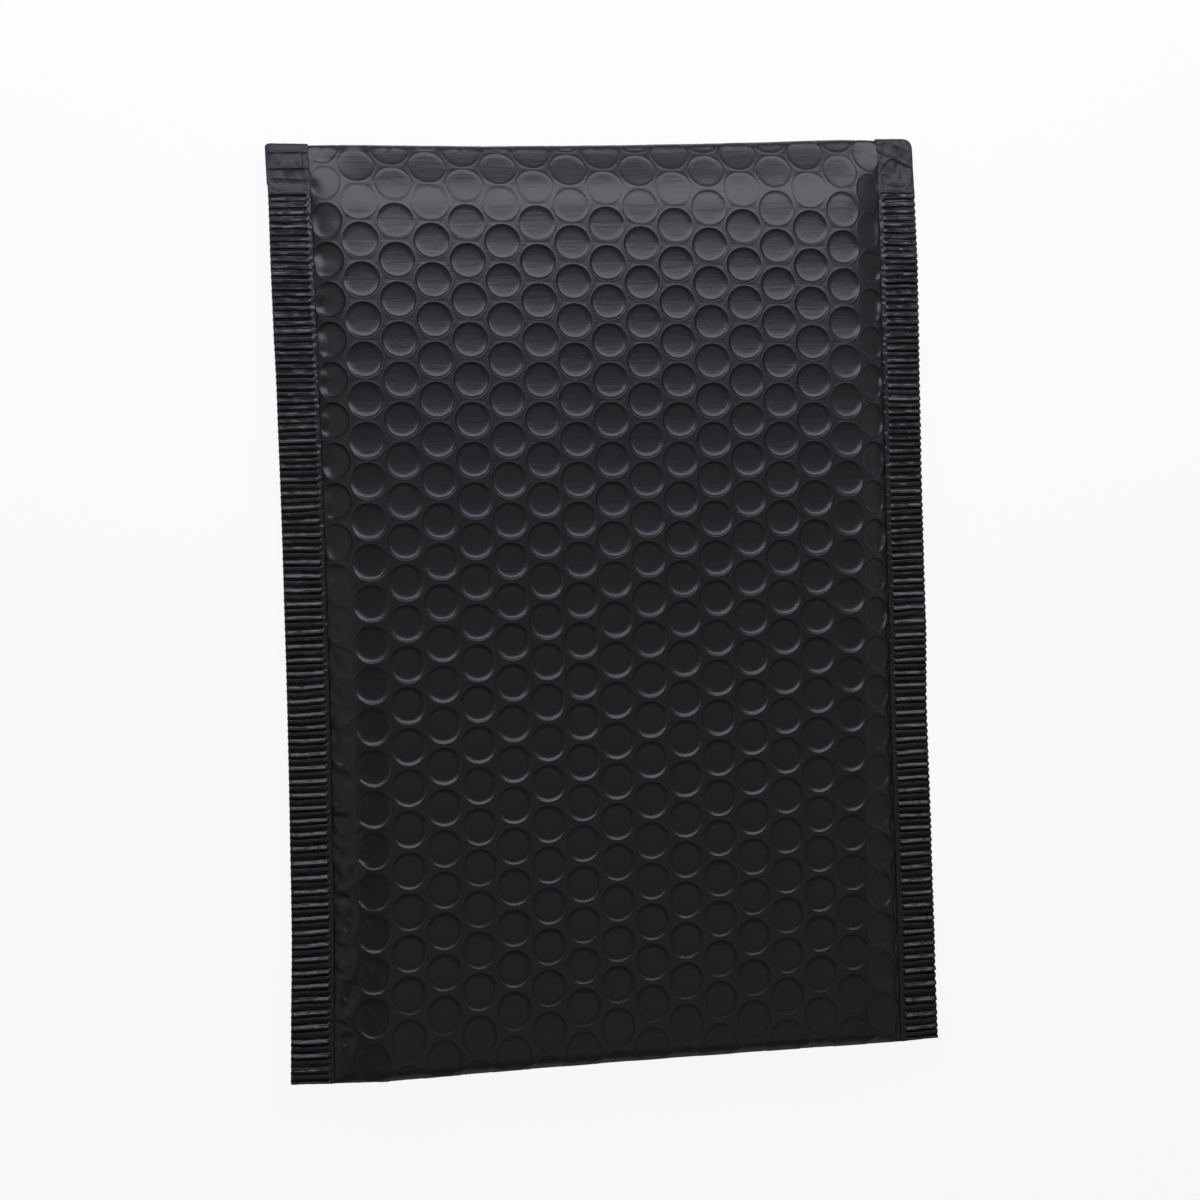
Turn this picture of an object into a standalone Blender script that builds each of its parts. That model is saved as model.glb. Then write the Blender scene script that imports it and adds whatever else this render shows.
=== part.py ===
"""Padded envelope: a bubble-lined film mailer, closed, lying flat with its plain face up.

The real thing is one web of film laminated to bubble film. It is folded at the bottom, crimped
together along both sides, filled with air between the layers, and its flap is turned under at
the top. So the model is one solid. Its outside is one sheet, drawn flat first and then wrapped:

    across  runs over the face from the left edge to the right edge, measured on the film
    along   runs round the envelope from the bottom fold, up the face, over the top fold,
            under the flap to its raw edge, and back to the bottom fold

Frame: metres, +Z up, +X to the right and +Y to the top fold, origin under the middle of the
envelope, on the surface that it lies on.
"""

import math

import bmesh
import bpy
import numpy as np
from mathutils import Vector
from mathutils.geometry import delaunay_2d_cdt

# The whole envelope
WIDTH = 0.200
LENGTH = 0.275
THICKNESS = 0.0140
CROWN = 0.0036
FLAP_LENGTH = 0.050
FLAP_EDGE_HEIGHT = 0.0015
PANEL_SAG_LENGTH = 0.030

# The crimped side seals
LEFT_SEAL_WIDTH = 0.0126
RIGHT_SEAL_WIDTH = 0.0118
SEAL_THICKNESS = 0.0010
SEAL_HEIGHT = 0.0055
FLAP_SIDE_HEIGHT = 0.0035
RIB_PITCH = 0.0040
RIB_DEPTH = 0.0009
CRIMP_START = 0.0020
LEFT_CRIMP_END = 0.0070
RIGHT_CRIMP_END = 0.0150
SIDE_RISE_LENGTH = 0.0200
LEFT_SIDE_PULL_IN = 0.0019
RIGHT_SIDE_PULL_IN = 0.0008

# The folds
BOTTOM_FOLD_RUN = 0.0040
TOP_SLOPE_RUN = 0.0200
TOP_SLOPE_BEND = 0.0100
TOP_NOSE_RUN = 0.0016
TOP_NOSE_DROP = 0.0021
TOP_FOLD_HEIGHT = 0.0028
FLAP_FOLD_RUN = 0.0040

# The bubbles: a pattern of columns and rows that leans a little, and is stretched half way up
ROW_PITCH = 0.01193
COLUMN_PITCH = 0.0106
FIRST_ROW = 0.0139
COLUMN_SHIFT = -0.0026
COLUMN_LEAN = 0.0124
ROW_LEAN = -0.0183
ROW_SLACK = 0.0031
ROW_TWIST = -0.0007
FACE_DISH_DEPTH = 0.0009
BACK_DISH_DEPTH = 0.0006
DISH_FLOOR_SHARE = 0.80
END_DEPTH_SHARE = 0.30
DEPTH_FADE_LENGTH = 0.035
LEAST_HALF_DISH = 0.0025
DISH_CLEARANCE = 0.0004

# How finely the curves are drawn
CURVE_STEP = 0.0002
GUIDE_SPACING = 0.0100
WELD_DISTANCE = 0.00001

# The rim of a dish has six corners, each half way to a neighbour: a column and a row from its middle
RIM_CORNERS = [(0, 0.5), (-0.5, 0.25), (-0.5, -0.25), (0, -0.5), (0.5, -0.25), (0.5, 0.25)]


def quarter_curve(start, end, upright_first):
    """Points on a quarter ellipse in the Y-Z plane, upright at one end and level at the other."""
    run, rise = end[0] - start[0], end[1] - start[1]
    steps = max(8, round((abs(run) + abs(rise)) / CURVE_STEP))
    turn = np.linspace(0, math.pi / 2, steps + 1)
    if upright_first:
        return np.column_stack([start[0] + run * (1 - np.cos(turn)), start[1] + rise * np.sin(turn)])
    return np.column_stack([start[0] + run * np.sin(turn), start[1] + rise * (1 - np.cos(turn))])


def face_height(y):
    """The height of the face at mid width: highest half way up, and CROWN lower at both folds."""
    return THICKNESS - CROWN * (2 * y / LENGTH) ** 2


def face_curve(start_y, end_y):
    """Points on the crowned face between two places."""
    y = np.linspace(start_y, end_y, round((end_y - start_y) / GUIDE_SPACING) + 1)
    return np.column_stack([y, face_height(y)])


def slope_curve(start_y, end):
    """Points on a slope that leaves the face smoothly, bends down, and then runs straight to its end."""
    run = end[0] - start_y
    past = np.linspace(0, run, max(8, round(run / CURVE_STEP)) + 1)
    bent = np.where(past < TOP_SLOPE_BEND, past ** 2 / (2 * TOP_SLOPE_BEND), past - TOP_SLOPE_BEND / 2)
    steepness = (face_height(end[0]) - end[1]) / bent[-1]
    return np.column_stack([start_y + past, face_height(start_y + past) - steepness * bent])


def ease_curve(start, end):
    """Points on a half wave that is level at both ends."""
    run, rise = end[0] - start[0], end[1] - start[1]
    share = np.linspace(0, 1, max(8, round(abs(run) / CURVE_STEP)) + 1)
    return np.column_stack([start[0] + run * share, start[1] + rise * (1 - np.cos(math.pi * share)) / 2])


class Wrap:
    """The line that the film follows round the envelope at mid width, measured along itself.

    marks holds the length along that line at each place that something else is set from.
    """

    def __init__(self):
        bottom, top = -LENGTH / 2, LENGTH / 2
        flap_edge = top - FLAP_LENGTH
        bottom_fold = (bottom, SEAL_HEIGHT)
        face_start = bottom + BOTTOM_FOLD_RUN
        slope_start = top - TOP_SLOPE_RUN
        nose = (top - TOP_NOSE_RUN, TOP_FOLD_HEIGHT + TOP_NOSE_DROP)
        top_fold = (top, TOP_FOLD_HEIGHT)
        stages = [
            ("face_start", quarter_curve(bottom_fold, (face_start, face_height(face_start)), True)),
            ("face_end", face_curve(face_start, slope_start)),
            ("nose", slope_curve(slope_start, nose)),
            ("top_fold", quarter_curve(nose, top_fold, False)),
            ("flap_start", quarter_curve(top_fold, (top - FLAP_FOLD_RUN, 0), True)),
            ("flap_edge", [(flap_edge, 0)]),
            ("mouth", [(flap_edge, FLAP_EDGE_HEIGHT)]),
            ("back_start", ease_curve((flap_edge, FLAP_EDGE_HEIGHT), (flap_edge - PANEL_SAG_LENGTH, 0))),
            ("back_end", [(face_start, 0)]),
            ("end", quarter_curve((face_start, 0), bottom_fold, False)),
        ]
        self.line = np.array([bottom_fold])
        ends = []
        for name, points in stages:
            self.line = np.vstack([self.line, points])
            ends.append((name, len(self.line) - 1))
        steps = np.linalg.norm(np.diff(self.line, axis=0), axis=1)
        self.length = np.concatenate([[0], np.cumsum(steps)])
        self.marks = {name: self.length[last] for name, last in ends}
        self.marks["bottom_fold"] = 0.0

    def place(self, along):
        """Y and Z at mid width, at this length along the line."""
        return (
            np.interp(along, self.length, self.line[:, 0]),
            np.interp(along, self.length, self.line[:, 1]),
        )

    def along_at(self, y, first, last):
        """The length along the line where it passes y, between two marks."""
        inside = (self.length >= self.marks[first]) & (self.length <= self.marks[last])
        order = np.argsort(self.line[inside, 0], kind="stable")
        return float(np.interp(y, self.line[inside, 0][order], self.length[inside][order]))


class Span:
    """The line that the film follows from side to side, measured along itself.

    rise is 0 on the seals and 1 in the middle, and climbs quickly beside a seal.
    """

    def __init__(self):
        self.left_edge, self.right_edge = -WIDTH / 2, WIDTH / 2
        self.left_seal = self.left_edge + LEFT_SEAL_WIDTH
        self.right_seal = self.right_edge - RIGHT_SEAL_WIDTH
        steps = round((self.right_seal - self.left_seal) / CURVE_STEP)
        inner = np.linspace(self.left_seal, self.right_seal, steps + 1)
        self.x = np.concatenate([[self.left_edge], inner, [self.right_edge]])
        height = (THICKNESS - SEAL_HEIGHT) * self.rise_at(self.x)
        length = np.concatenate([[0], np.cumsum(np.hypot(np.diff(self.x), np.diff(height)))])
        self.length = length - np.interp(0, self.x, length)
        self.marks = {
            "left_edge": self.length[0],
            "left_seal": self.length[1],
            "right_seal": self.length[-2],
            "right_edge": self.length[-1],
        }

    def rise_at(self, x):
        """How far the film has climbed from the seals to its full height, from 0 to 1."""
        reach = np.clip(np.minimum(x - self.left_seal, self.right_seal - x), 0, None)
        return 1 - (1 - np.minimum(reach / SIDE_RISE_LENGTH, 1)) ** 2.5

    def place(self, across):
        """X, and the rise there, at this length across the film."""
        x = np.interp(across, self.length, self.x)
        return x, self.rise_at(x)


def crimp_range(crimp_end):
    """The lowest and highest Y of a crimp, a whole number of ribs apart."""
    low = -LENGTH / 2 + CRIMP_START
    ribs = math.floor((LENGTH - CRIMP_START - crimp_end) / RIB_PITCH)
    return low, low + ribs * RIB_PITCH


def rib_wave(y, crimp_end):
    """The crimp's height at y: a zigzag of RIB_DEPTH from valley to crest, and 0 outside the crimp."""
    low, high = crimp_range(crimp_end)
    phase = (y - low) / RIB_PITCH
    zigzag = 4 * np.abs(phase - np.round(phase)) - 1
    inside = (y > low - WELD_DISTANCE) & (y < high + WELD_DISTANCE)
    return np.where(inside, RIB_DEPTH / 2 * zigzag, 0)


def seal_heights(wrap, along):
    """The film's height on the seals: thin beside the crimp, and deeper where the flap lies under it."""
    marks = wrap.marks
    face, back = SEAL_HEIGHT + SEAL_THICKNESS / 2, SEAL_HEIGHT - SEAL_THICKNESS / 2
    fold = (FLAP_SIDE_HEIGHT + face) / 2
    stations = [
        ("bottom_fold", SEAL_HEIGHT),
        ("face_start", face),
        ("face_end", face),
        ("top_fold", fold),
        ("flap_start", FLAP_SIDE_HEIGHT),
        ("flap_edge", FLAP_SIDE_HEIGHT),
        ("mouth", back),
        ("back_end", back),
        ("end", SEAL_HEIGHT),
    ]
    return np.interp(along, [marks[name] for name, _ in stations], [z for _, z in stations])


def wrapped(wrap, span, sheet):
    """Points in space for points on the flat sheet: the two lines multiplied together."""
    across, along = sheet[:, 0], sheet[:, 1]
    x, rise = span.place(across)
    y, middle_z = wrap.place(along)
    seal_z = seal_heights(wrap, along)
    on_left = x <= span.left_seal + WELD_DISTANCE
    on_right = x >= span.right_seal - WELD_DISTANCE
    on_flap = (along > wrap.marks["top_fold"]) & (along < wrap.marks["mouth"] - WELD_DISTANCE)
    ribs = np.where(on_left, rib_wave(y, LEFT_CRIMP_END), 0)
    ribs = np.where(on_right, rib_wave(y, RIGHT_CRIMP_END), ribs)
    seal_z = seal_z + np.where(on_flap, 0, ribs)
    z = seal_z + (middle_z - seal_z) * rise
    pulled = LEFT_SIDE_PULL_IN * (0.5 - x / WIDTH) - RIGHT_SIDE_PULL_IN * (0.5 + x / WIDTH)
    return np.column_stack([x + pulled * (1 - (2 * y / LENGTH) ** 2), y, z])


def outward(wrap, span, sheet):
    """The film's outward direction at points on the flat sheet, from a short step each way on it."""
    step = CURVE_STEP
    over = wrapped(wrap, span, sheet + [step, 0]) - wrapped(wrap, span, sheet - [step, 0])
    up = wrapped(wrap, span, sheet + [0, step]) - wrapped(wrap, span, sheet - [0, step])
    normal = np.cross(over, up)
    return normal / np.linalg.norm(normal, axis=1)[:, None]


class FlatSheet:
    """Points, the edges that have to be kept, and how deep each point is pressed in."""

    def __init__(self):
        self.points = []
        self.edges = []
        self.depths = []

    def add(self, points, depth=0):
        first = len(self.points)
        self.points += [tuple(point) for point in points]
        self.depths += [depth] * len(points)
        return list(range(first, len(self.points)))

    def join(self, indices, closed=False):
        self.edges += list(zip(indices, indices[1:]))
        if closed:
            self.edges.append((indices[-1], indices[0]))


def seal_stations(wrap, crimp_end):
    """Lengths along the wrap where a seal has a crease across it, on the face and on the underside."""
    low, high = crimp_range(crimp_end)
    creases = list(np.linspace(low, high, round(2 * (high - low) / RIB_PITCH) + 1))
    creases.append((high + LENGTH / 2) / 2)
    flap_edge = LENGTH / 2 - FLAP_LENGTH
    near = RIB_PITCH / 8
    face = [wrap.along_at(y, "bottom_fold", "top_fold") for y in creases]
    flap = [wrap.along_at(y, "top_fold", "flap_edge") for y in creases if y > flap_edge + near]
    back = [wrap.along_at(y, "mouth", "end") for y in creases if y < flap_edge - near]
    marks = [wrap.marks[name] for name in ("bottom_fold", "top_fold", "flap_edge", "mouth", "end")]
    return sorted(face + flap + back + marks)


def add_seals(sheet, wrap, span):
    """Both seals: an outer and an inner line, joined by a crease at every station."""
    for side, crimp_end in (("left", LEFT_CRIMP_END), ("right", RIGHT_CRIMP_END)):
        stations = seal_stations(wrap, crimp_end)
        lines = []
        for name in (side + "_edge", side + "_seal"):
            lines.append(sheet.add([(span.marks[name], along) for along in stations]))
            sheet.join(lines[-1])
        sheet.edges += list(zip(*lines))


def guide_lines(wrap):
    """Lengths along the wrap of the lines that keep the folds and the flap's edge straight."""
    marks = wrap.marks
    lines = [
        marks["bottom_fold"],
        marks["face_start"] / 2,
        marks["face_start"],
        marks["top_fold"],
        (marks["top_fold"] + marks["flap_start"]) / 2,
        marks["flap_start"],
        marks["flap_edge"],
        marks["mouth"],
        marks["back_end"],
        (marks["back_end"] + marks["end"]) / 2,
        marks["end"],
    ]
    return sorted(lines)


def add_guides(sheet, wrap, span):
    left, right = span.marks["left_seal"], span.marks["right_seal"]
    count = round((right - left) / GUIDE_SPACING)
    across = np.linspace(left, right, count + 1)[1:-1]
    for along in guide_lines(wrap):
        sheet.join(sheet.add([(place, along) for place in across]))


def pattern_place(wrap, column, row):
    """Where a place of the pattern lies on the film. Its length along is from the bottom fold."""
    side, up = column * COLUMN_PITCH, row * ROW_PITCH
    across = COLUMN_SHIFT + side + up * COLUMN_LEAN
    along = FIRST_ROW + up + side * ROW_LEAN
    reach = 2 * along / wrap.marks["top_fold"] - 1
    return across, along + ROW_SLACK * (1 - reach ** 2) + ROW_TWIST * reach * across / (WIDTH / 2)


def dishes(wrap, span, last):
    """The middle and the rim of each dish between the seals, from the bottom fold to last.

    Neighbours share rim corners. A dish beside a seal is cut short there, or left out if little is left.
    """
    left, right = span.marks["left_seal"], span.marks["right_seal"]
    columns = math.ceil(WIDTH / 2 / COLUMN_PITCH) + 1
    rows = math.ceil(last / ROW_PITCH) + 1
    for column in range(-columns, columns + 1):
        for step in range(-2, rows):
            row = step + column % 2 / 2
            middle = pattern_place(wrap, column, row)
            if min(middle[0] - left, right - middle[0]) < LEAST_HALF_DISH:
                continue
            rim = np.array([pattern_place(wrap, column + side, row + up) for side, up in RIM_CORNERS])
            if rim[:, 1].min() < DISH_CLEARANCE or rim[:, 1].max() > last - DISH_CLEARANCE:
                continue
            rim[:, 0] = np.clip(rim[:, 0], left + DISH_CLEARANCE, right - DISH_CLEARANCE)
            yield np.array(middle), rim


def clear_of_guides(wrap, along):
    """Whether no guide line passes between these lengths along the wrap."""
    low, high = min(along) - DISH_CLEARANCE, max(along) + DISH_CLEARANCE
    return not any(low < line < high for line in guide_lines(wrap))


def add_face_dishes(sheet, wrap, span):
    """The face's dishes have a flat floor, and are shallow near the folds, where the film is taut."""
    top_fold = wrap.marks["top_fold"]
    for middle, rim in dishes(wrap, span, top_fold):
        if clear_of_guides(wrap, rim[:, 1]):
            near = min(middle[1], top_fold - middle[1])
            share = END_DEPTH_SHARE + (1 - END_DEPTH_SHARE) * min(near / DEPTH_FADE_LENGTH, 1)
            floor = middle + DISH_FLOOR_SHARE * (rim - middle)
            sheet.join(sheet.add(rim), closed=True)
            sheet.join(sheet.add(floor, FACE_DISH_DEPTH * share), closed=True)


def add_back_dishes(sheet, wrap, span):
    """The hidden side has the same pattern, with plainer dishes: a rim and a deeper middle point."""
    end, mouth = wrap.marks["end"], wrap.marks["mouth"]
    for middle, rim in dishes(wrap, span, end - mouth):
        middle[1], rim[:, 1] = end - middle[1], end - rim[:, 1]
        if clear_of_guides(wrap, rim[:, 1]):
            sheet.join(sheet.add(rim), closed=True)
            sheet.add([middle], BACK_DISH_DEPTH)


def build_envelope():
    wrap, span = Wrap(), Span()
    sheet = FlatSheet()
    add_seals(sheet, wrap, span)
    add_guides(sheet, wrap, span)
    add_face_dishes(sheet, wrap, span)
    add_back_dishes(sheet, wrap, span)
    flat, _, faces, sources, *_ = delaunay_2d_cdt(
        [Vector(point) for point in sheet.points], sheet.edges, [], 0, 1e-9
    )
    flat = np.array([tuple(point) for point in flat])
    depth = np.array([max((sheet.depths[first] for first in same), default=0.0) for same in sources])
    points = wrapped(wrap, span, flat) - outward(wrap, span, flat) * depth[:, None]

    mesh = bpy.data.meshes.new("padded_envelope")
    mesh.from_pydata([tuple(point) for point in points], [], faces)
    solid = bmesh.new()
    solid.from_mesh(mesh)
    bmesh.ops.remove_doubles(solid, verts=solid.verts, dist=WELD_DISTANCE)
    open_edges = [edge for edge in solid.edges if edge.is_boundary]
    for side in (-1, 1):
        edges = [edge for edge in open_edges if edge.verts[0].co.x * side > 0]
        bmesh.ops.triangle_fill(solid, edges=edges, use_beauty=True)
    bmesh.ops.recalc_face_normals(solid, faces=solid.faces)
    solid.to_mesh(mesh)
    solid.free()
    return bpy.data.objects.new("padded_envelope", mesh)


def film_material():
    film = bpy.data.materials.new("black_film")
    film.use_nodes = True
    surface = film.node_tree.nodes["Principled BSDF"]
    surface.inputs["Base Color"].default_value = (0.020, 0.021, 0.023, 1.0)
    surface.inputs["Roughness"].default_value = 0.55
    surface.inputs["Metallic"].default_value = 0.0
    return film


for old in list(bpy.data.objects):
    bpy.data.objects.remove(old, do_unlink=True)

envelope = build_envelope()
envelope.data.materials.append(film_material())
for face in envelope.data.polygons:
    face.use_smooth = True
group = bpy.data.collections.new("padded_envelope")
bpy.context.scene.collection.children.link(group)
group.objects.link(envelope)
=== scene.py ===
# %% [markdown]
# # Dressing a padded envelope
#
# The frame gives one plain solid: a closed padded envelope that lies with its face up. This
# lesson replaces it with the film that a person would see: round bubbles pressed inwards, side
# seals crimped into ribs, and a flap turned under at the top.
#
# Lengths are in metres. X runs across the face, Y runs up it to the folded end, and Z points
# out of it. Every new surface is drawn flat first, in film coordinates: `across` is measured
# from the middle, and `along` from the bottom fold. One function then wraps it into space.

import math

import bpy
import numpy as np
from mathutils import Matrix, Vector


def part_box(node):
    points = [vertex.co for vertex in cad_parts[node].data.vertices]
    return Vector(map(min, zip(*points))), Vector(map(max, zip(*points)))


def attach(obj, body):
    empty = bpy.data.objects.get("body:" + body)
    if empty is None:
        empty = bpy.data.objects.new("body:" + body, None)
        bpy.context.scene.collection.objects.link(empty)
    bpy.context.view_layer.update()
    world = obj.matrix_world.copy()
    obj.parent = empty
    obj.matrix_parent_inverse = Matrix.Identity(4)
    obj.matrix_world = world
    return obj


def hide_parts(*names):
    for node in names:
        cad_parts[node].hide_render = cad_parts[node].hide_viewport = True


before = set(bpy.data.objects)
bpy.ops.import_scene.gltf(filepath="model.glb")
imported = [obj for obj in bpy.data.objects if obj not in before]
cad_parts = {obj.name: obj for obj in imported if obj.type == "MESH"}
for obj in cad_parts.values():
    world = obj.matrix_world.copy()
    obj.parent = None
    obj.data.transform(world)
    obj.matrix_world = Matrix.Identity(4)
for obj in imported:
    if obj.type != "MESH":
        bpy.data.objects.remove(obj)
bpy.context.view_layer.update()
low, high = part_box("padded_envelope")
print("solid from", [round(v, 4) for v in low], "to", [round(v, 4) for v in high])

# %% [markdown]
# ## Sizes
#
# These are the sizes of the real thing. The first group holds the envelope's own, and the
# second those of its pattern, its crimp and its film, which are finer here than in the solid.

# %% Name the sizes
MM = 0.001

WIDTH = 200 * MM
LENGTH = 275 * MM
THICKNESS = 14 * MM
CROWN = 3.6 * MM
SEAL_HEIGHT = 5.5 * MM
LEFT_SEAL = 12.6 * MM
RIGHT_SEAL = 11.8 * MM
FLAP_LENGTH = 50 * MM
BOTTOM_RUN = 4 * MM
TOP_RUN = 20 * MM
TOP_BEND = 10 * MM
TOP_NOSE = 1.6 * MM
TOP_FOLD_HEIGHT = 2.8 * MM
UNDER_RUN = 4 * MM
SIDE_RISE = 20 * MM
LEFT_PULL = 1.88 * MM
RIGHT_PULL = 0.81 * MM

ROW_PITCH = 11.926 * MM
COLUMN_PITCH = 10.597 * MM
DISH_DEPTH = 1.0 * MM
LIP_HEIGHT = 0.06 * MM
FILM = 0.25 * MM
SEAL_THICKNESS = 0.9 * MM
UNDER_HEIGHT = 3.9 * MM
RIB_PITCH = 4.0 * MM
RIB_STRENGTH = 0.80 * MM
SEAL_STRIP = 1.5 * MM
SEAL_OVERLAP = 0.3 * MM

LEFT_X = -WIDTH / 2 + LEFT_SEAL
RIGHT_X = WIDTH / 2 - RIGHT_SEAL
TOP_Y = LENGTH / 2
FLAP_EDGE_Y = TOP_Y - FLAP_LENGTH
print("width between the seals:", round((RIGHT_X - LEFT_X) * 1000, 1), "mm")

# %% [markdown]
# ## Unevenness that repeats
#
# Film is never quite even. `noise` gives smooth hills and hollows between -1 and 1 from a
# seeded grid of numbers, so the same place gets the same height in each run.

# %% Smooth noise


def noise(x, y, cell, seed):
    """Smooth noise: grid values at `cell` spacing, blended by a smooth step in both directions."""
    values = np.random.default_rng(seed).uniform(-1, 1, (67, 71))
    gx, gy = np.asarray(x) / cell + 1000.0, np.asarray(y) / cell + 1000.0
    ix, iy = np.floor(gx).astype(int), np.floor(gy).astype(int)
    fx, fy = gx - ix, gy - iy
    fx, fy = fx * fx * (3 - 2 * fx), fy * fy * (3 - 2 * fy)
    corner = [values[(ix + i) % 67, (iy + j) % 71] for i in (0, 1) for j in (0, 1)]
    near = corner[0] * (1 - fy) + corner[1] * fy
    far = corner[2] * (1 - fy) + corner[3] * fy
    return near * (1 - fx) + far * fx


def smooth(value, start, end):
    """A smooth step: 0 at start, 1 at end."""
    share = np.clip((value - start) / (end - start), 0, 1)
    return share * share * (3 - 2 * share)


hills = noise(np.linspace(0, 1, 50), 0, 0.1, 1)
print("noise from", round(float(hills.min()), 2), "to", round(float(hills.max()), 2))

# %% [markdown]
# ## The line round the envelope
#
# At mid width the face's film starts at the bottom fold, rises steeply, runs flat, and rounds
# over the top fold into the flap. The back is a second line, from the same bottom fold to just
# behind the flap's raw edge.

# %% Trace the two lines


def quarter(start, end, upright_first, count=120):
    """A quarter ellipse: upright at one end, level at the other."""
    turn = np.linspace(0, math.pi / 2, count)
    run, rise = end[0] - start[0], end[1] - start[1]
    if upright_first:
        return np.column_stack([start[0] + run * (1 - np.cos(turn)), start[1] + rise * np.sin(turn)])
    return np.column_stack([start[0] + run * np.sin(turn), start[1] + rise * (1 - np.cos(turn))])


def traced(parts):
    """One line from several, and the length along it at each point."""
    line = np.vstack(parts)
    keep = np.concatenate([[True], np.linalg.norm(np.diff(line, axis=0), axis=1) > 1e-9])
    line = line[keep]
    length = np.concatenate([[0], np.cumsum(np.linalg.norm(np.diff(line, axis=0), axis=1))])
    return line, length


def face_height(y):
    """The face at mid width: highest half way up, and CROWN lower at both folds."""
    return THICKNESS - CROWN * (2 * y / LENGTH) ** 2


def ramp(start_y, end, bend, count=120):
    """A slope that leaves the face smoothly, curves down for `bend`, and goes on straight."""
    past = np.linspace(0, end[0] - start_y, count)
    bent = np.where(past < bend, past ** 2 / (2 * bend), past - bend / 2)
    steep = (face_height(end[0]) - end[1]) / bent[-1]
    return np.column_stack([start_y + past, face_height(start_y + past) - steep * bent])


BOTTOM = (-LENGTH / 2, SEAL_HEIGHT)
NOSE = (TOP_Y - TOP_NOSE, TOP_FOLD_HEIGHT + 1.3 * TOP_NOSE)
FACE_START = -LENGTH / 2 + BOTTOM_RUN
face_y = np.linspace(FACE_START, TOP_Y - TOP_RUN, 100)
face_line, face_length = traced([
    quarter(BOTTOM, (FACE_START, face_height(FACE_START)), True),
    np.column_stack([face_y, face_height(face_y)]),
    ramp(TOP_Y - TOP_RUN, NOSE, TOP_BEND),
    quarter(NOSE, (TOP_Y, TOP_FOLD_HEIGHT), False, 40),
    quarter((TOP_Y, TOP_FOLD_HEIGHT), (TOP_Y - UNDER_RUN, 0), True, 60),
])
back_line, back_length = traced([
    quarter(BOTTOM, (FACE_START, 0), True),
    np.column_stack([
        np.linspace(FLAP_EDGE_Y - 30 * MM, FLAP_EDGE_Y + 8 * MM, 60),
        1.3 * MM * smooth(np.linspace(-30 * MM, 8 * MM, 60), -30 * MM, 2 * MM),
    ]),
])
TOP_S = float(face_length[np.argmax(face_line[:, 0])])
print("face film", round(face_length[-1] * 1000, 1), "mm, top fold at", round(TOP_S * 1000, 1), "mm")

# %% [markdown]
# ## Across the envelope
#
# The pillow is full height in the middle, and falls to the seals on both sides. `rise` is that
# share, from 0 on a seal to 1, and a table turns film length across into X.

# %% Tabulate the width


def rise(x):
    """The pillow's share of its full height at x."""
    reach = np.clip(np.minimum(x - LEFT_X, RIGHT_X - x), 0, None)
    return 1 - (1 - np.minimum(reach / SIDE_RISE, 1)) ** 2.5


width_x = np.linspace(LEFT_X, RIGHT_X, 1200)
width_step = np.hypot(np.diff(width_x), np.diff((THICKNESS - SEAL_HEIGHT) * rise(width_x)))
width_u = np.concatenate([[0], np.cumsum(width_step)])
width_u -= np.interp(0, width_x, width_u)
LEFT_U, RIGHT_U = float(width_u[0]), float(width_u[-1])
print("film between the seals:", round((RIGHT_U - LEFT_U) * 1000, 1), "mm")

# %% [markdown]
# ## The real outline
#
# The real envelope isn't a true rectangle. Its sides are bowed in, and each edge wanders. A
# table gives how far an edge lies from the even one, in mm, at places along it. `settle` moves
# every point by its share of that.

# %% Settle the edges
TOP_EDGE = np.array([
    (-100, 0.0), (-73, -0.35), (-35, -0.75), (2, -0.5), (27, -0.1), (52, 0.45), (77, 1.2), (100, 1.3),
]) * MM
BOTTOM_EDGE = np.array([
    (-100, -0.6), (-87, -1.3), (-73, -1.9), (-35, -1.3), (2, -1.0), (52, -0.95), (85, -1.1), (100, -0.7),
]) * MM
LEFT_EDGE = np.array([
    (-137, -0.6), (-115, -0.35), (-95, 0.0), (80, 0.1), (100, 0.2), (112, 0.35), (137, 0.75),
]) * MM
RIGHT_EDGE = np.array([
    (-137, 0.5), (-105, 0.6), (-72, 0.5), (-50, 0.1), (-35, 0.1), (-11, 0.6), (14, 0.4), (75, 0.45),
    (100, 0.35), (112, 0.0), (125, -0.45), (137, -0.8),
]) * MM


def settle(x, y):
    """Where a point of the even envelope lies on the real one: edges bowed in and a little uneven."""
    bow = (1 - (2 * y / LENGTH) ** 2) * (LEFT_PULL * (0.5 - x / WIDTH) - RIGHT_PULL * (0.5 + x / WIDTH))
    left = smooth(-x, 70 * MM, WIDTH / 2) * np.interp(y, *LEFT_EDGE.T)
    right = smooth(x, 70 * MM, WIDTH / 2) * np.interp(y, *RIGHT_EDGE.T)
    top = smooth(y, TOP_Y - 25 * MM, TOP_Y) * np.interp(x, *TOP_EDGE.T)
    bottom = smooth(-y, TOP_Y - 25 * MM, TOP_Y) * np.interp(x, *BOTTOM_EDGE.T)
    return x + bow + left + right, y + top + bottom


print("left edge at mid length:", round(float(settle(-WIDTH / 2, 0.0)[0]) * 1000, 2), "mm")

# %% [markdown]
# ## Wrapping the film
#
# Two lines multiplied together give the smooth pillow. On top come slow unevenness, small
# puckers where the ribs of a seal let go of the film, and crumples beside the left seal, where
# the real one was squeezed.

# %% Wrap film coordinates into space


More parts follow.
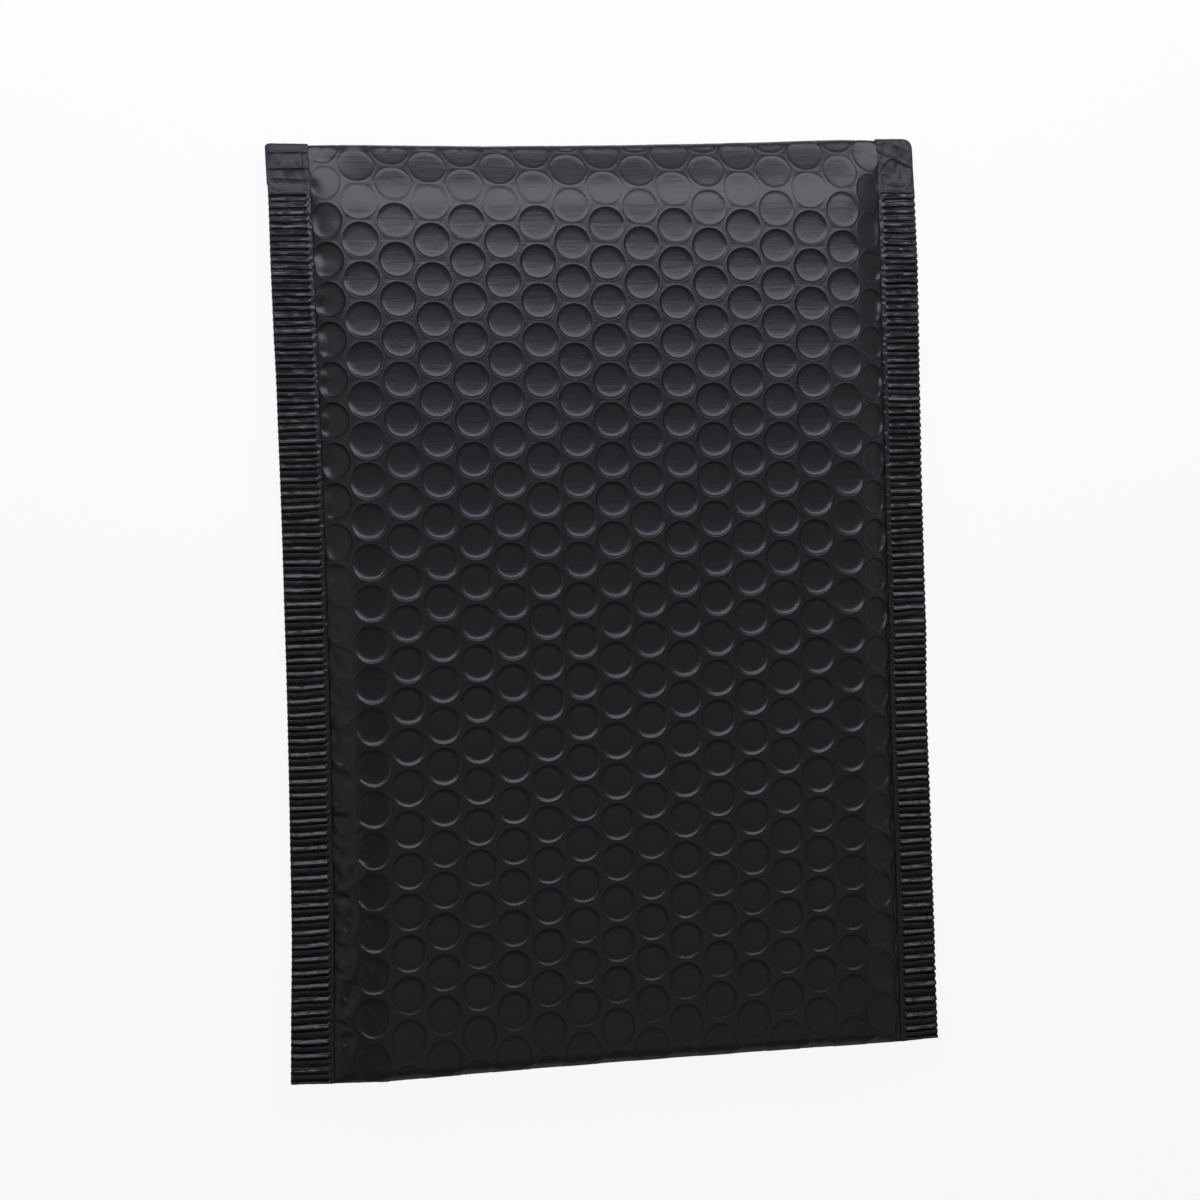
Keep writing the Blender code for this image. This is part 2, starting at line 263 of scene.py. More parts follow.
def crumple(x, y, from_left, from_right):
    """Small ridges beside the seals, strongest at the left, with fine streaks in its lower half."""
    ridge = 1 - np.abs(noise(x, y, 5.5 * MM, 11)) * 2
    fold = 1 - np.abs(noise(x + 0.4 * y, y - 0.5 * x, 8 * MM, 12)) * 2
    streak = 1 - np.abs(noise(x * 0.45 - y * 0.2, y + 0.55 * x, 2.1 * MM, 13)) * 2
    left = np.exp(-((from_left / (9 * MM)) ** 2)) * (0.35 + 0.65 * smooth(-y, -20 * MM, 100 * MM))
    right = 0.35 * np.exp(-((from_right / (5 * MM)) ** 2))
    low = left * smooth(-y, -30 * MM, 40 * MM) * smooth(from_left, 0, 1.5 * MM)
    return ((left + right) * (0.30 * ridge + 0.22 * fold) + 0.70 * low * streak) * MM


def pucker(y, from_left, from_right):
    """Pleats in step with the ribs, dying out a few millimetres into the pillow."""
    swing = np.cos(2 * math.pi * (y + LENGTH / 2) / (2 * RIB_PITCH) + 2.5 * noise(y, 0 * y, 9 * MM, 21))
    left = np.exp(-from_left / (2.2 * MM)) * smooth(from_left, 0, 1.2 * MM)
    right = np.exp(-from_right / (2.2 * MM)) * smooth(from_right, 0, 1.2 * MM)
    return (left + right) * 0.55 * MM * swing


def wrap(line, length, across, along, front):
    """Points in space of the smooth film, without its bubbles."""
    x = np.interp(across, width_u, width_x)
    share = rise(x)
    y = np.interp(along, length, line[:, 0])
    middle = np.interp(along, length, line[:, 1])
    from_left, from_right = x - LEFT_X, RIGHT_X - x
    if front:
        edge = np.interp(along, [TOP_S - 6 * MM, TOP_S, length[-1]], [SEAL_HEIGHT, 4.2 * MM, 3.3 * MM])
        side = 1.0
    else:
        edge = np.full_like(y, SEAL_HEIGHT)
        side = -1.0
    z = edge + (middle - edge) * share
    slow = 0.22 * MM * noise(x, y, 34 * MM, 3) * share
    fold = smooth(np.abs(y), TOP_Y - 1 * MM, TOP_Y - 14 * MM)
    z = z + side * (slow + crumple(x, y, from_left, from_right) + pucker(y, from_left, from_right)) * fold
    y = y - 0.5 * MM * (1 - share) * smooth(y, TOP_Y - 6 * MM, TOP_Y)
    return np.stack([*settle(x, y), z], axis=-1)


def film_normal(line, length, across, along, front):
    """The outward direction of the smooth film, from a step each way."""
    step = 0.15 * MM
    over = wrap(line, length, across + step, along, front) - wrap(line, length, across - step, along, front)
    up = wrap(line, length, across, along + step, front) - wrap(line, length, across, along - step, front)
    normal = np.cross(over, up) * (1.0 if front else -1.0)
    return normal / np.maximum(np.linalg.norm(normal, axis=-1, keepdims=True), 1e-12)


# %% [markdown]
# ## One bubble
#
# Seen from outside, a bubble is a shallow bowl. `bowl` is its profile, as a depth between 0 and
# 1: a slightly hollow floor, a steep wall and a soft shoulder. `lip` is the thin raised ring
# round it.

# %% The bubble's profile
PROFILE_R = np.array([
    0, 1.40, 2.60, 3.65, 4.25, 4.61, 4.82, 5.00, 5.17, 5.32, 5.43, 5.55, 5.67, 5.80,
]) * MM
PROFILE_D = np.array([1, 0.97, 0.92, 0.84, 0.76, 0.65, 0.55, 0.43, 0.29, 0.17, 0.09, 0.035, 0.01, 0])


def bowl(radius):
    """Depth share at a distance from the bubble's middle."""
    return np.interp(radius, PROFILE_R, PROFILE_D)


def lip(radius):
    """The thin raised ring round a bubble."""
    return LIP_HEIGHT * np.interp(radius, np.array([5.32, 5.55, 5.80]) * MM, [0, 1, 0])


print("half depth at radius", round(float(np.interp(-0.5, -PROFILE_D, PROFILE_R)) * 1000, 2), "mm")

# %% [markdown]
# ## A sheet of bubbles
#
# Each bubble sits in a six-sided cell, and neighbouring cells share their edges, so the cells
# tile the film with no gap. A cell is a set of rings round its bubble, and the last ring lies on
# the cell's edge. Cells that cross the sheet's edge are cut off there.

# %% Tile the film with cells
COLUMN_LEAN = math.radians(0.71)
ROW_LEAN = math.radians(-1.05)
PATTERN_HALF = 141.7 * MM
SLACK = 3.06 * MM
TWIST = -0.72 * MM
EDGE_MARGIN = 8 * MM
MERGE_STEP = 1e-7
LEAST_AREA = 1e-12


def cell_edge(per_side):
    """Points round the six-sided cell, from the corner at the right."""
    half, across = ROW_PITCH / 2, COLUMN_PITCH
    near = (across ** 2 - half ** 2) / (2 * across)
    far = (across ** 2 + half ** 2) / (2 * across)
    corners = np.array([(far, 0), (near, half), (-near, half), (-far, 0), (-near, -half), (near, -half)])
    share = np.arange(per_side)[:, None] / per_side
    sides = [a * (1 - share) + b * share for a, b in zip(corners, np.roll(corners, -1, axis=0))]
    return np.vstack(sides)


def lattice(first, last, origin):
    """Middle points of all cells that can touch a film from `first` to `last` along."""
    columns = np.arange(-11, 12)
    rows = np.arange(math.floor((first - origin[1]) / ROW_PITCH) - 3, (last - origin[1]) // ROW_PITCH + 4)
    column, row = np.meshgrid(columns, rows, indexing="ij")
    up = (row + (column % 2) / 2) * ROW_PITCH
    across = origin[0] + column * COLUMN_PITCH + up * math.tan(COLUMN_LEAN)
    along = origin[1] + up + column * COLUMN_PITCH * math.tan(ROW_LEAN)
    return across.ravel(), along.ravel()


def leaned(points):
    """The lattice's lean, applied to points round a cell."""
    x, y = points[..., 0], points[..., 1]
    return np.stack([x + y * math.tan(COLUMN_LEAN), y + x * math.tan(ROW_LEAN)], axis=-1)


def cell_template(radii, per_side):
    """A cell's points: its middle, a ring at each radius, and its edge. Also both counts."""
    edge = cell_edge(per_side)
    direction = edge / np.linalg.norm(edge, axis=1, keepdims=True)
    rings = [direction * radius for radius in radii] + [edge]
    return np.concatenate([np.zeros((1, 2))] + rings), len(edge), len(rings)


def cell_faces(count, rings):
    """A fan of triangles round the middle, and a band of quads from each ring to the next."""
    ring = np.arange(count)
    after = (ring + 1) % count
    fans = np.stack([0 * ring, 1 + ring, 1 + after, 1 + after], axis=1)
    bands = [
        np.stack([a + ring, a + count + ring, a + count + after, a + after], axis=1)
        for a in 1 + count * np.arange(rings - 1)
    ]
    return np.concatenate([fans] + bands)


def merged(flat, depth, faces):
    """The same sheet with equal places made one, and without faces that have no area."""
    _, first, same = np.unique(
        np.round(flat / MERGE_STEP).astype(np.int64), axis=0, return_index=True, return_inverse=True
    )
    flat, depth = flat[first], depth[first]
    faces = same.reshape(-1)[faces]
    a, b, c, d = (flat[faces[:, i]] for i in range(4))
    one, two = c - a, d - b
    area = one[:, 0] * two[:, 1] - one[:, 1] * two[:, 0]
    return flat, depth, faces[area > LEAST_AREA]


print("cells that may touch the face:", len(lattice(0, face_length[-1], (0, 0))[0]))

# %% [markdown]
# The pattern on the real film isn't quite even: its rows lie a little closer together towards
# the folded end, and turn a little on the way. Bubbles lose their depth where the film is
# pinched by a seal or bent over the fold.

# %% Press the bubbles


def bubble_sheet(line, length, front, origin, radii, per_side, depth_of):
    """All vertices, faces and film coordinates of a film with bubbles."""
    template, count, rings = cell_template(radii, per_side)
    radius = np.linalg.norm(template, axis=1)
    template = leaned(template)

    across, along = lattice(0, length[-1], origin)
    inside = (across > LEFT_U - EDGE_MARGIN) & (across < RIGHT_U + EDGE_MARGIN)
    inside &= (along > -EDGE_MARGIN) & (along < length[-1] + EDGE_MARGIN)
    across, along = across[inside], along[inside]
    u = across[:, None] + template[:, 0]
    s = along[:, None] + template[:, 1]
    far = s / PATTERN_HALF - 1
    s = s + SLACK * (1 - far ** 2) + TWIST * far * u / (WIDTH / 2)
    u, s = np.clip(u, LEFT_U, RIGHT_U), np.clip(s, 0, length[-1])
    depth = depth_of(across, along)[:, None] * bowl(radius)[None, :] * DISH_DEPTH
    depth = depth - lip(radius) * (0.2 + 0.8 * smooth(along, 60 * MM, 170 * MM))[:, None]

    start = np.arange(len(across))[:, None, None] * len(template)
    faces = (start + cell_faces(count, rings)).reshape(-1, 4)
    flat, depth, faces = merged(np.stack([u.ravel(), s.ravel()], axis=1), depth.ravel(), faces)
    points = wrap(line, length, flat[:, 0], flat[:, 1], front)
    normal = film_normal(line, length, flat[:, 0], flat[:, 1], front)
    x = np.interp(flat[:, 0], width_u, width_x)
    room = np.minimum(np.minimum(x - LEFT_X, RIGHT_X - x), flat[:, 1])
    crush = smooth(room, 0, 2 * MM)
    if front:
        crush = crush * (0.2 + 0.8 * smooth(np.abs(flat[:, 1] - TOP_S), 0.5 * MM, 6 * MM))
    return points - normal * (depth * crush)[:, None], faces, flat


def face_depth(across, along):
    """Shallow at the top fold, where the film is stretched, full below, and shallow at the bottom."""
    top = 0.20 + 0.80 * smooth(TOP_S - along, 16 * MM, 42 * MM)
    bottom = 0.32 + 0.43 * smooth(along, 5 * MM, 25 * MM) + 0.25 * smooth(along, 50 * MM, 150 * MM)
    slack = 0.75 * smooth(across - LEFT_U, 13 * MM, 9 * MM) * smooth(along, 170 * MM, 120 * MM)
    vary = 1 + 0.10 * noise(across * 1.7, along * 1.7, 7 * MM, 5)
    return top * bottom * vary * (1 - slack)


def back_depth(across, along):
    """The underside's bubbles are pressed flatter by the weight on them."""
    return 0.57 + 0.06 * noise(across * 1.7, along * 1.7, 7 * MM, 6)


print("dish share at mid length:", round(float(face_depth(0.0, TOP_S / 2)), 2))

# %% [markdown]
# ## From arrays to objects
#
# `mesh_object` hands whole arrays to Blender. A face whose last two corners are the same is a
# triangle.

# %% Build objects from arrays


def mesh_object(name, points, faces, flat=None, ends=()):
    """A smooth-shaded object at the origin. `flat` goes into its UV, and `ends` are extra faces."""
    corners = [tuple(dict.fromkeys(face)) for face in faces.tolist()]
    corners = [face for face in corners if len(face) > 2] + [end.tolist() for end in ends]
    mesh = bpy.data.meshes.new(name)
    mesh.from_pydata(points.tolist(), [], corners)
    mesh.validate()
    mesh.shade_smooth()
    if flat is not None:
        layer = mesh.uv_layers.new(name="film")
        index = np.empty(len(mesh.loops), dtype=np.int32)
        mesh.loops.foreach_get("vertex_index", index)
        layer.data.foreach_set("uv", (flat[index] * 1000).astype(np.float32).ravel())
    piece = bpy.data.objects.new(name, mesh)
    bpy.context.scene.collection.objects.link(piece)
    print(name, len(mesh.vertices), "points,", len(mesh.polygons), "faces")
    return piece


FACE_ORIGIN = (-0.69 * MM, 168.74 * MM)
FACE_RADII = PROFILE_R[1:]
points, faces, flat = bubble_sheet(face_line, face_length, True, FACE_ORIGIN, FACE_RADII, 4, face_depth)
face_film = mesh_object("face_film", points, faces, flat)

BACK_ORIGIN = FACE_ORIGIN
BACK_RADII = np.array([2.6, 4.1, 4.8, 5.2, 5.7]) * MM
points, faces, flat = bubble_sheet(back_line, back_length, False, BACK_ORIGIN, BACK_RADII, 3, back_depth)
back_film = mesh_object("back_film", points, faces[:, ::-1], flat)

# %% [markdown]
# ## The crimped seals
#
# A seal is a thin strip that is pressed into ribs. It runs up the side, turns over the top fold
# and ends above the flap. Each pitch has a crest that leans to the bottom, a deep groove, a low
# flat land and a second groove. No two are quite alike, and the crimp stops short of the fold.

# %% Rib profile
RIB = np.array([
    (0, 1), (0.03, 0.86), (0.07, 0.70), (0.13, 0.50), (0.20, 0.32), (0.25, 0.20),
    (0.28, -1.3), (0.44, -1.3), (0.47, -0.1), (0.50, 0.10), (0.73, 0.12), (0.76, -0.1),
    (0.79, -1.3), (0.95, -1.3), (0.98, 0.80), (1, 1),
])


def rib(y, x, seed, crimp_top):
    """The strip's height at y: the profile above, with each rib a little different."""
    wander = 0.16 * noise(y, 0 * y, 13 * MM, seed) + 0.05 * noise(x, y, 6 * MM, seed + 1)
    phase = (y + LENGTH / 2) / RIB_PITCH + wander
    number = np.floor(phase)
    share = phase - number
    height = np.interp(share, *RIB.T)
    tall = 1 + 0.25 * noise(np.round(phase) * 7 * MM, x, 9 * MM, seed + 2)
    land = smooth(share, 0.45, 0.52) * smooth(share, 0.83, 0.76)
    uneven = 0.30 * land * noise(number * 5 * MM, x * 0.6, 4 * MM, seed + 3)
    wrinkle = 0.10 * noise(x, y, 1.1 * MM, seed + 4) + 0.12 * noise(x * 0.35, y, 0.8 * MM, seed + 5)
    pressed = smooth(y, crimp_top + 0.6 * MM, crimp_top - 0.6 * MM)
    pressed = pressed * smooth(y, -TOP_Y + 0.2 * MM, -TOP_Y + 1.2 * MM)
    crinkle = 0.45 * noise(x, y, 4 * MM, seed + 6) + 0.35 * noise(x, y * 0.4, 1.3 * MM, seed + 7)
    return RIB_STRENGTH * (pressed * (height * tall + uneven + wrinkle) + crinkle * (1 - pressed))


print("ribs on a seal:", math.floor((LENGTH - 15 * MM) / RIB_PITCH))

# %% [markdown]
# Above the crimp the seals sag towards the fold and have sharp creases. `ridges` raises or sinks
# the film along short straight lines. The right seal has also caught a bubble.

# %% Crease the seals' upper ends


def sag(y):
    """How far the seals drop towards the top fold."""
    return 0.8 * MM * smooth(y, TOP_Y - 17 * MM, TOP_Y - 1 * MM)


def ridges(x, y, lines):
    """Sharp creases: each line has its two ends, from the seal's outer corner, and its height, in mm."""
    total = 0 * x
    for start_x, start_y, end_x, end_y, height in lines:
        run_x, run_y = (end_x - start_x) * MM, (end_y - start_y) * MM
        from_x, from_y = x - start_x * MM, y - start_y * MM
        share = np.clip((from_x * run_x + from_y * run_y) / (run_x ** 2 + run_y ** 2), 0, 1)
        away = np.hypot(from_x - share * run_x, from_y - share * run_y)
        total = total + height * MM * np.exp(-((away / (0.38 * MM)) ** 2))
    return total


LEFT_CREASES = [
    (1.2, -2.7, 11.8, -2.5, 0.34), (1.0, -7.4, 12.2, -7.2, 0.36), (1.5, -10.9, 12.0, -11.3, -0.40),
    (10.0, -2.8, 10.3, -7.2, 0.34), (11.4, -1.0, 11.2, -6.6, -0.30), (3.2, -3.0, 3.0, -7.0, 0.22),
    (5.6, -7.6, 5.4, -11.0, 0.30), (8.4, -8.0, 8.2, -13.0, -0.26), (1.3, -0.8, 1.6, -13.0, 0.26),
    (6.4, -3.2, 6.8, -6.6, -0.22), (3.4, -11.6, 3.6, -14.2, 0.22), (10.2, -11.6, 10.0, -14.0, 0.26),
]
RIGHT_CREASES = [
    (-13.0, -3.0, -0.8, -8.4, 0.34), (-11.8, -6.6, -9.6, -7.6, 0.30), (-11.9, -8.2, -11.6, -14.6, -0.32),
    (-11.0, -15.4, -1.2, -15.6, 0.34), (-8.6, -13.2, -3.4, -13.6, 0.26), (-10.0, -10.2, -8.0, -11.0, 0.26),
    (-1.5, -9.4, -1.3, -15.0, 0.24), (-6.0, -2.0, -1.8, -3.6, 0.16),
]


def left_end(x, y):
    """At the top of the left seal: the creases of the folded film."""
    return ridges(x + WIDTH / 2, y - TOP_Y, LEFT_CREASES)


def right_end(x, y):
    """At the top of the right seal: one bubble caught in it, and the creases around that."""
    radius = 1.12 * np.hypot(x - (WIDTH / 2 - 6.2 * MM), y - (TOP_Y - 10.8 * MM))
    return -0.38 * MM * bowl(radius) + 3 * lip(radius) + ridges(x - WIDTH / 2, y - TOP_Y, RIGHT_CREASES)


# %% [markdown]
# The strip is swept along a centre line in Y and Z. Each station has a closed loop of points:
# over the outside from the edge to the pillow, and back along the inside. Beside the pillow a
# narrow band is left flat.

# %% Sweep the seals


def strip_line(end_under):
    """The seal's centre line in Y and Z, with points close together where the ribs are."""
    half = SEAL_THICKNESS / 2
    radius = (SEAL_HEIGHT - UNDER_HEIGHT) / 2
    straight = np.arange(-LENGTH / 2, TOP_Y - radius - half, 0.13 * MM)
    turn = np.linspace(0, math.pi, 30)
    bend = np.column_stack([
        TOP_Y - radius - half + radius * np.sin(turn),
        SEAL_HEIGHT - radius * (1 - np.cos(turn)),
    ])
    under = np.linspace(TOP_Y - radius - half - 0.5 * MM, end_under, 12)
    return np.vstack([
        np.column_stack([straight, np.full_like(straight, SEAL_HEIGHT)]),
        bend,
        np.column_stack([under, np.full_like(under, UNDER_HEIGHT)]),
    ])


def strip_loop():
    """One loop across the strip: each point's share of the way in, and its side from 1 to -1."""
    over = np.concatenate([[0, 0.012], np.linspace(0.04, 0.96, 31), [0.988, 1]])
    under = np.array([0.988, 0.9, 0.63, 0.37, 0.1, 0.012])
    share = np.concatenate([over, under])
    side = np.interp(share, [0, 0.012, 0.04, 0.96, 0.988, 1], [0, 0.7, 1, 1, 0.7, 0])
    side[len(over):] *= -1
    return share, side


def strip_lift(x, y, outer_x, inner_x, seed, crimp_top):
    """The crimp's height: lower at the raw edge, and only a fine grain on the flat band."""
    ribbed = smooth(np.abs(x - inner_x), SEAL_STRIP, SEAL_STRIP + 0.6 * MM)
    lift = rib(y, x, seed, crimp_top) * ribbed
    lift = lift * (0.55 + 0.45 * smooth(np.abs(x - outer_x), 0, 1.2 * MM))
    return lift + 0.16 * MM * noise(x, y, 0.9 * MM, seed + 10) * (1 - ribbed)


def strip_faces(rows, around, mirrored):
    """Quads from each loop to the next, and the two end faces, all facing out."""
    index = np.arange(rows * around).reshape(rows, around)
    follow = np.roll(index, -1, axis=1)
    faces = np.stack([index[:-1], follow[:-1], follow[1:], index[1:]], axis=-1).reshape(-1, 4)
    if mirrored:
        return faces[:, ::-1], [index[0], index[-1][::-1]]
    return faces, [index[0][::-1], index[-1]]


def seal_strip(name, outer_x, inner_x, seed, crimp_top, corner, mark):
    """A closed strip from outer_x to inner_x, ribbed and folded over at the top."""
    line = strip_line(TOP_Y - 12 * MM)
    tangent = np.gradient(line, axis=0)
    tangent /= np.linalg.norm(tangent, axis=1, keepdims=True)
    outward = np.column_stack([-tangent[:, 1], tangent[:, 0]])
    share, side = strip_loop()
    inward = np.sign(inner_x - outer_x)
    to_edge = np.abs(share - 1)[None, :]
    x = outer_x + (inner_x - outer_x) * share[None, :] + 0 * line[:, :1]
    y = line[:, :1] + 0 * x
    z = line[:, 1:] + 0 * x

    top_side = (np.arange(len(line)) < np.argmax(line[:, 0]))[:, None]
    lift = strip_lift(x, y, outer_x, inner_x, seed, crimp_top) * top_side
    lift = lift + mark(x, y) * top_side * (side[None, :] > 0)
    lift = lift * smooth(TOP_Y - y, 0.2 * MM, 1.8 * MM)
    rough = 0.12 * MM * noise(y, 0 * y, 17 * MM, seed + 9) * to_edge
    half = SEAL_THICKNESS / 2 * side[None, :]
    y = y + outward[:, :1] * (half + lift)
    z = z + outward[:, 1:] * (half + lift)
    sway = 0.5 * MM * noise(y, 0 * y, 45 * MM, seed + 8) * to_edge
    z = z + sway * smooth(TOP_Y - y, 0, 30 * MM) - sag(y)
    x = x + rough * inward * 0.6
    nearness = np.clip((y - (TOP_Y - corner)) / corner, 0, 1)
    rounding = corner * (1 - np.sqrt(np.clip(1 - nearness ** 2, 0, 1)))
    x = x + inward * rounding * to_edge
    points = np.stack([*settle(x, y), z], axis=-1)
    faces, ends = strip_faces(*x.shape, inner_x < outer_x)
    return mesh_object(name, points.reshape(-1, 3), faces, ends=ends)


left_seal = seal_strip(
    "left_seal", -WIDTH / 2, LEFT_X + SEAL_OVERLAP, 101, TOP_Y - 14.5 * MM, 1.0 * MM, left_end
)
right_seal = seal_strip(
    "right_seal", WIDTH / 2, RIGHT_X - SEAL_OVERLAP, 201, TOP_Y - 16.5 * MM, 3.0 * MM, right_end
)

# %% [markdown]
# ## The flap
#
# The flap is a single thickness of film with no bubbles. It lies flat under the envelope, from
# the fold to its raw edge, and lifts a little at both sides.

# %% Lay the flap


def flap_sheet(columns=120, rows=40):
    """A thin closed sheet: a grid for its underside, a grid above it, and a rim between."""
    side = WIDTH / 2 - 0.8 * MM
    x = np.linspace(-side, side, columns)
    y = np.linspace(TOP_Y - 4 * MM, FLAP_EDGE_Y, rows)
    x, y = np.meshgrid(x, y, indexing="ij")
    edge = smooth(np.abs(x), side - 18 * MM, side)
    z = (UNDER_HEIGHT - 0.75 * MM - sag(y)) * edge + 0.10 * MM * (1 + noise(x, y, 15 * MM, 31)) * (1 - edge)
    z = np.maximum(z, 0)
    under = np.stack([*settle(x, y), z], axis=-1)
    above = under + np.array([0, 0, FILM])
    points = np.concatenate([under.reshape(-1, 3), above.reshape(-1, 3)])
    index = np.arange(columns * rows).reshape(columns, rows)
    quads = np.stack([index[:-1, :-1], index[1:, :-1], index[1:, 1:], index[:-1, 1:]], axis=-1)
    quads = quads.reshape(-1, 4)
    rim = np.concatenate([index[:, 0], index[-1, 1:], index[-2::-1, -1], index[0, -2:0:-1]])
    follow = np.roll(rim, -1)
    size = columns * rows
    sides = np.stack([rim, rim + size, follow + size, follow], axis=1)
    return points, np.concatenate([quads, quads[:, ::-1] + size, sides])


points, faces = flap_sheet()
flap = mesh_object("flap", points, faces, points[:, :2])

# %% [markdown]
# ## A material in arithmetic
#
# `Socket` wraps one output of a shader node and lets it be added and multiplied, so the shader
# reads like a formula. The film is matte black with a faint cool tint. Its gloss varies a
# little, and its bump has fine lines across, from the way the film was drawn, and a grain. The
# seals have less of the lines and more of the grain, and are duller above the crimp.

# %% A small socket class


class Socket:
    """One output socket, with arithmetic that adds Math nodes to its tree."""

    def __init__(self, tree, socket):
        self.tree = tree
        self.socket = socket

    def math(self, operation, other):
        node = self.tree.nodes.new("ShaderNodeMath")
        node.operation = operation
        for slot, value in zip(node.inputs, (self, other)):
            if isinstance(value, Socket):
                self.tree.links.new(value.socket, slot)
            else:
                slot.default_value = value
        return Socket(self.tree, node.outputs[0])

    def __add__(self, other):
        return self.math("ADD", other)

    def __sub__(self, other):
        return self.math("SUBTRACT", other)

    def __mul__(self, other):
        return self.math("MULTIPLY", other)

    __radd__ = __add__
    __rmul__ = __mul__

    def node(self, kind, output=0, inputs=None, **settings):
        """Any other node: its settings, then its inputs by name, then the output asked for."""
        node = self.tree.nodes.new(kind)
        for name, value in settings.items():
            setattr(node, name, value)
        for name, value in (inputs or {}).items():
            if isinstance(value, Socket):
                self.tree.links.new(value.socket, node.inputs[name])
            else:
                node.inputs[name].default_value = value
        return Socket(self.tree, node.outputs[output])


DULL_FROM = TOP_Y - 16 * MM
DULL_RUN = 1.25 * MM


def film_material(name, colour, roughness, line_bump, grain_bump, dull_top=0.0):
    """Matte film: colour, gloss and bump from noise in object coordinates.

    Roughness rises by `dull_top` from DULL_FROM up, over DULL_RUN.
    """
    material = bpy.data.materials.new(name)
    material.use_nodes = True
    tree = material.node_tree
    shader = tree.nodes["Principled BSDF"]
    place = Socket(tree, tree.nodes.new("ShaderNodeTexCoord").outputs["Object"])
    drawn = place.node("ShaderNodeMapping", inputs={"Vector": place, "Scale": (90, 900, 300)})
    lines = place.node("ShaderNodeTexNoise", inputs={"Vector": drawn, "Scale": 1.0, "Detail": 3.0})
    grain = place.node("ShaderNodeTexNoise", inputs={"Vector": place, "Scale": 1800.0, "Detail": 2.0})
    cloud = place.node("ShaderNodeTexNoise", inputs={"Vector": place, "Scale": 45.0, "Detail": 4.0})
    y = place.node("ShaderNodeSeparateXYZ", output=1, inputs={"Vector": place})
    above = ((y - DULL_FROM) * (1 / DULL_RUN)).math("MAXIMUM", 0.0).math("MINIMUM", 1.0)
    rough = roughness + 0.10 * (cloud - 0.5) + 0.08 * (grain - 0.5) + dull_top * above
    tree.links.new(rough.socket, shader.inputs["Roughness"])
    relief = line_bump * lines + grain_bump * grain
    bump = place.node("ShaderNodeBump", inputs={"Height": relief, "Strength": 0.5, "Distance": 0.0001})
    tree.links.new(bump.socket, shader.inputs["Normal"])
    shader.inputs["Base Color"].default_value = (*colour, 1.0)
    shader.inputs["IOR"].default_value = 1.5
    return material


BLACK = (0.0092, 0.0094, 0.0108)
film = film_material("black_film", BLACK, 0.34, 1.15, 0.4)
seal_film = film_material("black_seal_film", BLACK, 0.33, 0.6, 0.6, 0.22)
print("materials:", film.name, "and", seal_film.name)

# %% [markdown]
# ## Putting the pieces on the frame
#
# Every piece stands for the solid and rides on its one body.

# %% Attach the pieces
pieces = (face_film, back_film, flap, left_seal, right_seal)
for piece in pieces:
    piece.data.materials.append(seal_film if "seal" in piece.name else film)
    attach(piece, "root")
    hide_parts("padded_envelope")
print("the solid is replaced by", len(pieces), "pieces")

# %% [markdown]
# ## Floor
#
# The photo shows the envelope on plain white. To the camera the floor is mostly an even pale
# tone, and what is left of its own shading keeps the envelope's shadow.

# %% Floor


def pale_floor(name, size, colour, paper, glow, share):
    """A matte floor. To the camera a `share` of it is an even `paper` tone of strength `glow`."""
    half = size / 2
    mesh = bpy.data.meshes.new(name)
    corners = [(-half, -half, 0), (half, -half, 0), (half, half, 0), (-half, half, 0)]
    mesh.from_pydata(corners, [], [(0, 1, 2, 3)])
    floor = bpy.data.objects.new(name, mesh)
    bpy.context.scene.collection.objects.link(floor)
    material = bpy.data.materials.new(name)
    material.use_nodes = True
    tree = material.node_tree
    shader = tree.nodes["Principled BSDF"]
    shader.inputs["Base Color"].default_value = (*colour, 1.0)
    shader.inputs["Roughness"].default_value = 1.0
    shader.inputs["Specular IOR Level"].default_value = 0.0
    even = tree.nodes.new("ShaderNodeEmission")
    even.inputs["Color"].default_value = (*paper, 1.0)
    even.inputs["Strength"].default_value = glow
    seen = Socket(tree, tree.nodes.new("ShaderNodeLightPath").outputs["Is Camera Ray"])
    blend = tree.nodes.new("ShaderNodeMixShader")
    tree.links.new((seen * share).socket, blend.inputs[0])
    tree.links.new(shader.outputs[0], blend.inputs[1])
    tree.links.new(even.outputs[0], blend.inputs[2])
    tree.links.new(blend.outputs[0], tree.nodes["Material Output"].inputs["Surface"])
    floor.data.materials.append(material)
    return floor


floor = pale_floor("floor", 6.0, (0.88, 0.89, 0.90), (0.945, 0.953, 0.968), 1.03, 0.93)
print("floor:", round(floor.dimensions.x, 1), "m wide")

# %% [markdown]
# ## Light
#
# A wide, low light beyond the folded end rakes over the face. It brightens the slope at the top
# and the lower wall of every bubble, and leaves the upper walls dark. Three weak lights, behind
# the camera and at both sides, and a dim even world fill the shadows.

# %% Light


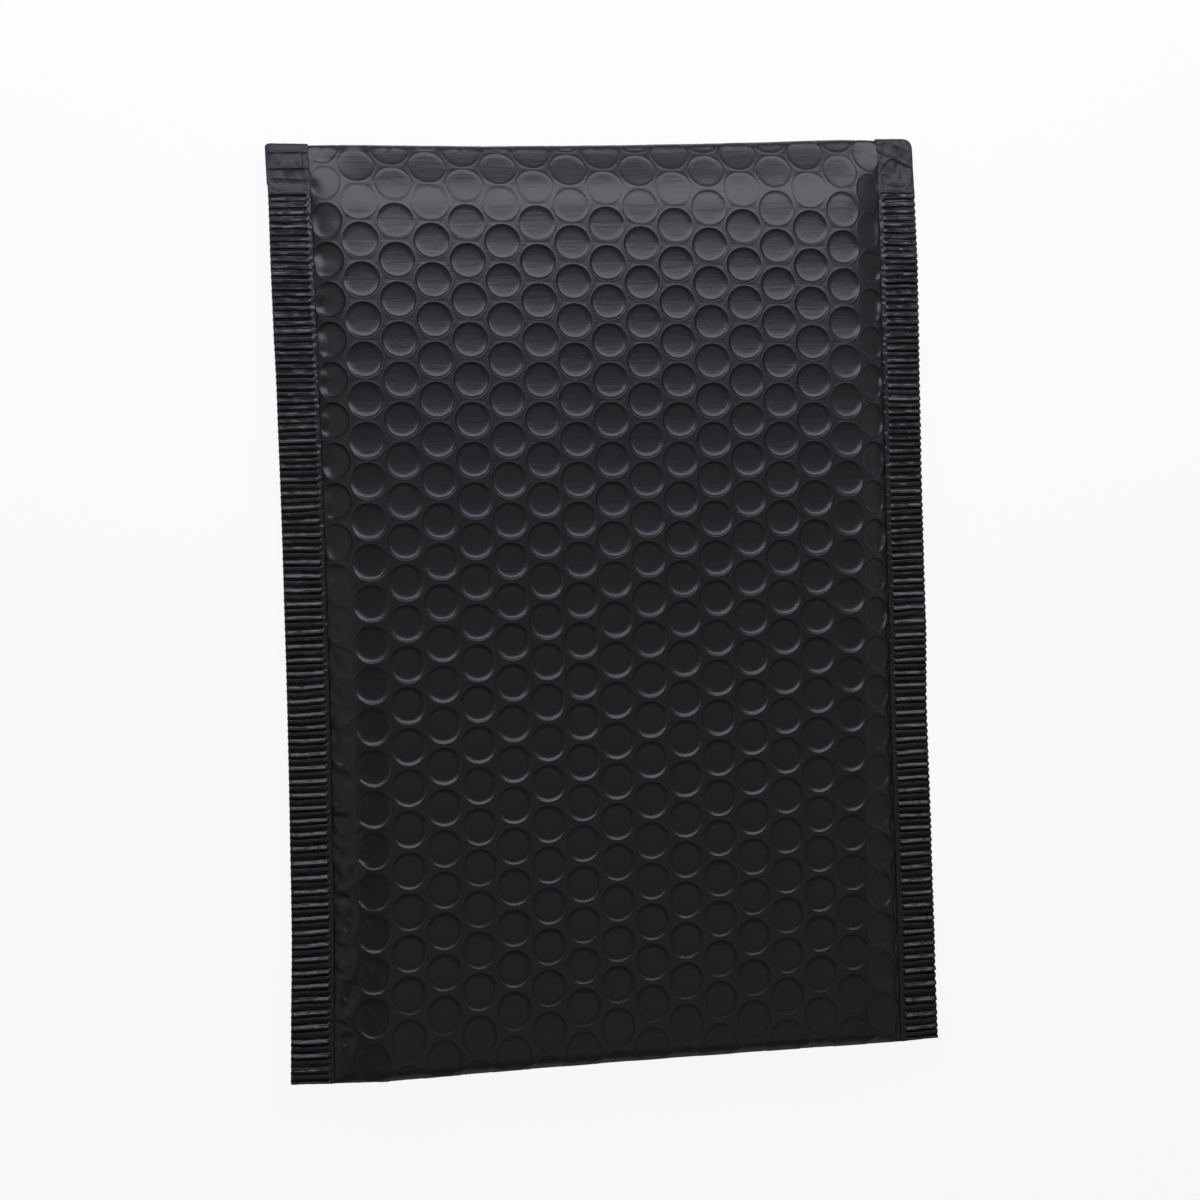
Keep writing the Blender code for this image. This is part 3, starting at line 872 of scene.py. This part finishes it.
def area_light(name, place, target, size, power, colour=(1, 1, 1)):
    """A rectangular soft light that faces its target."""
    data = bpy.data.lights.new(name, "AREA")
    data.shape = "RECTANGLE"
    data.size, data.size_y = size
    data.energy = power
    data.color = colour
    light = bpy.data.objects.new(name, data)
    light.location = place
    light.rotation_euler = (Vector(target) - Vector(place)).to_track_quat("-Z", "Y").to_euler()
    bpy.context.scene.collection.objects.link(light)
    return light


lights = [
    area_light("key", (0.002, 0.246, 0.219), (0.0, 0.12, 0.0), (0.64, 0.190), 1.40, (0.87, 0.895, 1.0)),
    area_light("fill", (0.25, -0.50, 1.2), (0.25, -0.50, 0.0), (1.0, 0.7), 0.44),
    area_light("left_fill", (-0.75, -0.05, 0.40), (0.0, -0.05, 0.0), (1.0, 0.5), 0.40),
    area_light("right_fill", (0.80, -0.05, 0.40), (0.0, -0.05, 0.0), (1.0, 0.5), 0.20),
]
world = bpy.data.worlds.new("studio")
world.use_nodes = True
background = world.node_tree.nodes["Background"]
background.inputs["Color"].default_value = (0.97, 0.95, 1.0, 1.0)
background.inputs["Strength"].default_value = 0.135
bpy.context.scene.world = world
bpy.context.scene.view_settings.view_transform = "Standard"
print("lights:", {light.name: round(light.data.energy, 2) for light in lights}, "W")

# %% [markdown]
# ## Camera
#
# The camera looks almost straight down on the face, from a little to the left. Its place and
# direction were fitted to the bubbles' places in the photo.

# %% Camera
CAMERA_PLACE = (-0.2111, 0.0327, 0.8800)
CAMERA_FORWARD = (0.2312, -0.0353, -0.9723)
CAMERA_UP = (0.0352, 0.9990, -0.0279)

forward = Vector(CAMERA_FORWARD).normalized()
right = forward.cross(Vector(CAMERA_UP)).normalized()
up = right.cross(forward)
camera_data = bpy.data.cameras.new("camera")
camera_data.sensor_width = 36
camera_data.lens = 90
camera = bpy.data.objects.new("camera", camera_data)
camera.matrix_world = Matrix.Translation(CAMERA_PLACE) @ Matrix((right, up, -forward)).transposed().to_4x4()
bpy.context.scene.collection.objects.link(camera)
bpy.context.scene.camera = camera
print("camera at", CAMERA_PLACE, "m,", camera_data.lens, "mm lens")
